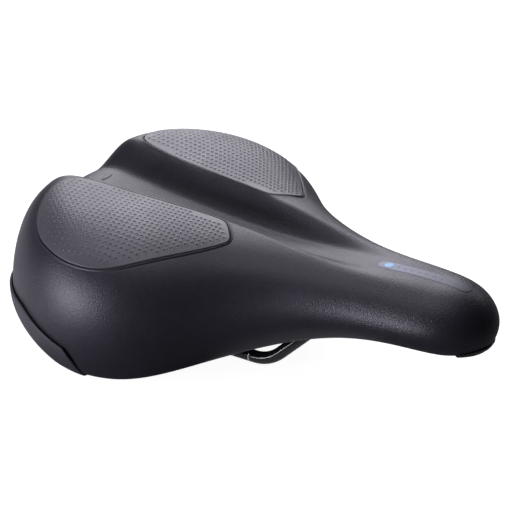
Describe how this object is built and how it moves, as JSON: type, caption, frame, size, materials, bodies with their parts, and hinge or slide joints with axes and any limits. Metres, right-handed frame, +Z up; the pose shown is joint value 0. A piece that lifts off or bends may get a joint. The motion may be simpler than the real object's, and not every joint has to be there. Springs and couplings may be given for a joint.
{
  "type": "bicycle saddle",
  "caption": "Comfort bicycle saddle: padded seat with two textured sit panels and a centre channel, sprung at the rear on rubber dampers and hinged at the nose of a steel rail.",
  "frame": {"origin": "midway between the two rail clamp runs, on the plane of their axes, at the middle of their straight length", "axes": "+X towards the nose of the saddle, +Y to the rider's left, +Z up"},
  "size_m": [0.2806, 0.2054, 0.0896],
  "materials": {
    "cover_black": "satin fine-grain coated cover, black with a faint violet cast",
    "panel_grey": "satin grey coated panel with small recessed dimples",
    "badge_grey": "smooth pale grey film",
    "bumper_black": "fine-textured moulded plastic",
    "guard_black": "smooth moulded edge trim",
    "shell_black": "moulded polypropylene",
    "foam": "open-cell moulded foam",
    "memory_foam": "fine-cell memory foam",
    "rail_black": "gloss black powder coat with white scale marks",
    "nylon_black": "glass-filled nylon",
    "elastomer": "matte moulded elastomer",
    "bush_nylon": "natural nylon",
    "zinc_steel": "zinc-plated steel",
    "brass": "machined brass"
  },
  "bodies": {
    "undercarriage": {"rail_wire": "rail_black", "rear_bridge": "nylon_black", "elastomer_left": "elastomer", "elastomer_right": "elastomer"},
    "seat": {"base_shell": "shell_black", "foam_pad": "foam", "memory_foam_topper": "memory_foam", "cover": "cover_black", "panel_left": "panel_grey", "panel_right": "panel_grey", "nose_badge": "badge_grey", "rear_tab": "badge_grey", "rear_bumper": "bumper_black", "nose_guard": "guard_black", "nose_block": "nylon_black", "nose_cap": "nylon_black", "nose_bush": "bush_nylon", "nose_screws": "zinc_steel", "damper_bolts": "zinc_steel", "damper_washers": "zinc_steel", "damper_cups": "nylon_black", "shell_inserts": "brass", "cover_staples": "zinc_steel"}
  },
  "joints": [
    {"name": "seat_sag", "type": "hinge", "parent": "undercarriage", "child": "seat", "pos_m": [0.134, 0, 0.038], "axis": [0, -1, 0], "range_deg": [0, 2.2], "stiffness_Nm_per_rad": 900, "deforming": ["elastomer_left", "elastomer_right"]}
  ]
}
